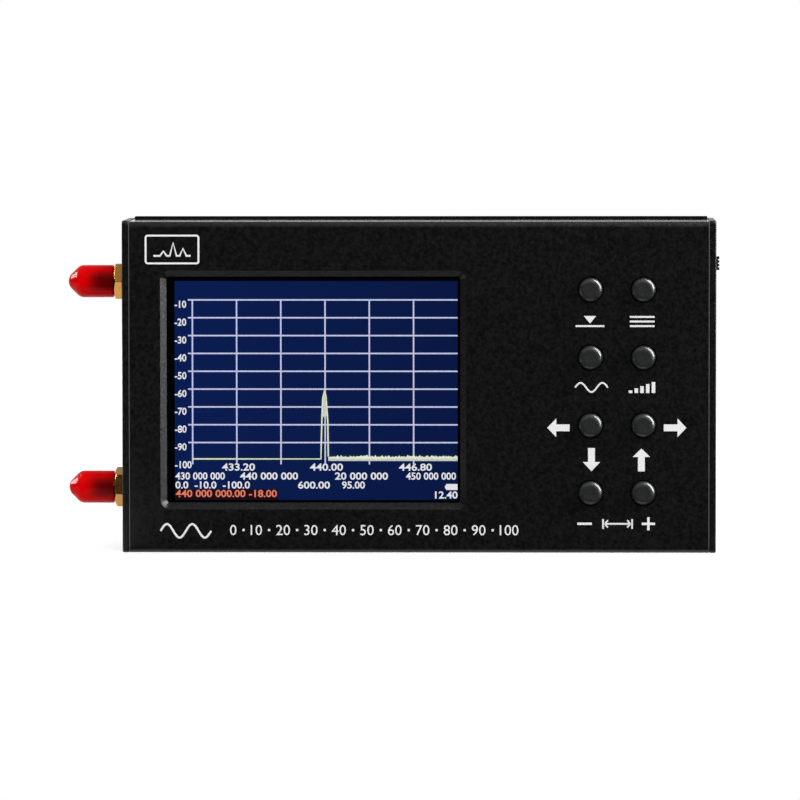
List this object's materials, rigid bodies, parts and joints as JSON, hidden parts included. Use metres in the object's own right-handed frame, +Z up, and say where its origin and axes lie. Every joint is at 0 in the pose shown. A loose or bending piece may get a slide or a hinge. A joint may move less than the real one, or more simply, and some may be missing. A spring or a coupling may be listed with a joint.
{
  "type": "handheld spectrum analyzer",
  "caption": "Handheld spectrum analyzer: flat black metal case with a bevelled display window, round push keys, a power slide switch and capped coaxial connectors on its left side.",
  "frame": {"origin": "middle of the underside: the rectangle of the shell, the two end plates and the back cover that the case stands on, without the connectors", "axes": "+X to the right as seen from the front, away from the coaxial connectors; +Y from the front face into the case; +Z up the height of the front"},
  "size_m": [0.1489, 0.0263, 0.076],
  "materials": {
    "case_aluminium": "matt black, finely textured coating",
    "screw_steel": "black oxide",
    "foam": "closed-cell foam",
    "screen_glass": "lit liquid-crystal display, satin polariser",
    "white_plastic": "moulded",
    "flex_film": "polyimide film",
    "circuit_board": "solder resist on glass fibre",
    "switch_plastic": "moulded",
    "key_plastic": "moulded, slightly polished by use",
    "gold_plated_brass": "gold plated",
    "insulator_plastic": "turned",
    "red_vinyl": "dip-moulded, translucent gloss",
    "tinned_steel": "tin plated",
    "chip_plastic": "moulded",
    "knob_plastic": "moulded",
    "battery_foil": "laminated foil pouch",
    "lead_insulation": "silicone"
  },
  "bodies": {
    "case": {"front_shell": "case_aluminium", "back_cover": "case_aluminium", "left_end_plate": "case_aluminium", "right_end_plate": "case_aluminium", "left_plate_screws": "screw_steel", "right_plate_screws": "screw_steel", "display_gasket": "foam", "display_pads": "foam", "battery_pad": "foam", "display_glass": "screen_glass", "display_frame": "white_plastic", "display_socket": "white_plastic", "battery_plug": "white_plastic", "battery_plug_socket": "white_plastic", "display_flex": "flex_film", "main_board": "circuit_board", "key_switches": "switch_plastic", "input_jack": "gold_plated_brass", "input_contact": "gold_plated_brass", "input_washer": "gold_plated_brass", "input_nut": "gold_plated_brass", "output_jack": "gold_plated_brass", "output_contact": "gold_plated_brass", "output_washer": "gold_plated_brass", "output_nut": "gold_plated_brass", "input_insulator": "insulator_plastic", "output_insulator": "insulator_plastic", "input_shield_can": "tinned_steel", "output_shield_can": "tinned_steel", "power_switch_housing": "tinned_steel", "charging_socket_shell": "tinned_steel", "board_chips": "chip_plastic", "charging_socket_tongue": "chip_plastic", "battery_pack": "battery_foil", "battery_leads": "lead_insulation"},
    "marker_key": {"marker_key_cap": "key_plastic", "marker_key_plunger": "switch_plastic"},
    "menu_key": {"menu_key_cap": "key_plastic", "menu_key_plunger": "switch_plastic"},
    "frequency_key": {"frequency_key_cap": "key_plastic", "frequency_key_plunger": "switch_plastic"},
    "amplitude_key": {"amplitude_key_cap": "key_plastic", "amplitude_key_plunger": "switch_plastic"},
    "left_key": {"left_key_cap": "key_plastic", "left_key_plunger": "switch_plastic"},
    "right_key": {"right_key_cap": "key_plastic", "right_key_plunger": "switch_plastic"},
    "minus_key": {"minus_key_cap": "key_plastic", "minus_key_plunger": "switch_plastic"},
    "plus_key": {"plus_key_cap": "key_plastic", "plus_key_plunger": "switch_plastic"},
    "power_knob": {"power_switch_knob": "knob_plastic"},
    "input_dust_cap": {"input_cap": "red_vinyl"},
    "output_dust_cap": {"output_cap": "red_vinyl"}
  },
  "joints": [
    {"name": "marker_key_press", "type": "slide", "parent": "case", "child": "marker_key", "axis": [0, 1, 0], "range_m": [0, 0.0003], "stiffness_N_per_m": 2000},
    {"name": "menu_key_press", "type": "slide", "parent": "case", "child": "menu_key", "axis": [0, 1, 0], "range_m": [0, 0.0003], "stiffness_N_per_m": 2000},
    {"name": "frequency_key_press", "type": "slide", "parent": "case", "child": "frequency_key", "axis": [0, 1, 0], "range_m": [0, 0.0003], "stiffness_N_per_m": 2000},
    {"name": "amplitude_key_press", "type": "slide", "parent": "case", "child": "amplitude_key", "axis": [0, 1, 0], "range_m": [0, 0.0003], "stiffness_N_per_m": 2000},
    {"name": "left_key_press", "type": "slide", "parent": "case", "child": "left_key", "axis": [0, 1, 0], "range_m": [0, 0.0003], "stiffness_N_per_m": 2000},
    {"name": "right_key_press", "type": "slide", "parent": "case", "child": "right_key", "axis": [0, 1, 0], "range_m": [0, 0.0003], "stiffness_N_per_m": 2000},
    {"name": "minus_key_press", "type": "slide", "parent": "case", "child": "minus_key", "axis": [0, 1, 0], "range_m": [0, 0.0003], "stiffness_N_per_m": 2000},
    {"name": "plus_key_press", "type": "slide", "parent": "case", "child": "plus_key", "axis": [0, 1, 0], "range_m": [0, 0.0003], "stiffness_N_per_m": 2000},
    {"name": "power_slide", "type": "slide", "parent": "case", "child": "power_knob", "axis": [0, 0, -1], "range_m": [0, 0.0025]},
    {"name": "input_cap_pull", "type": "slide", "parent": "case", "child": "input_dust_cap", "axis": [-1, 0, 0], "range_m": [0, 0.012]},
    {"name": "output_cap_pull", "type": "slide", "parent": "case", "child": "output_dust_cap", "axis": [-1, 0, 0], "range_m": [0, 0.012]}
  ]
}
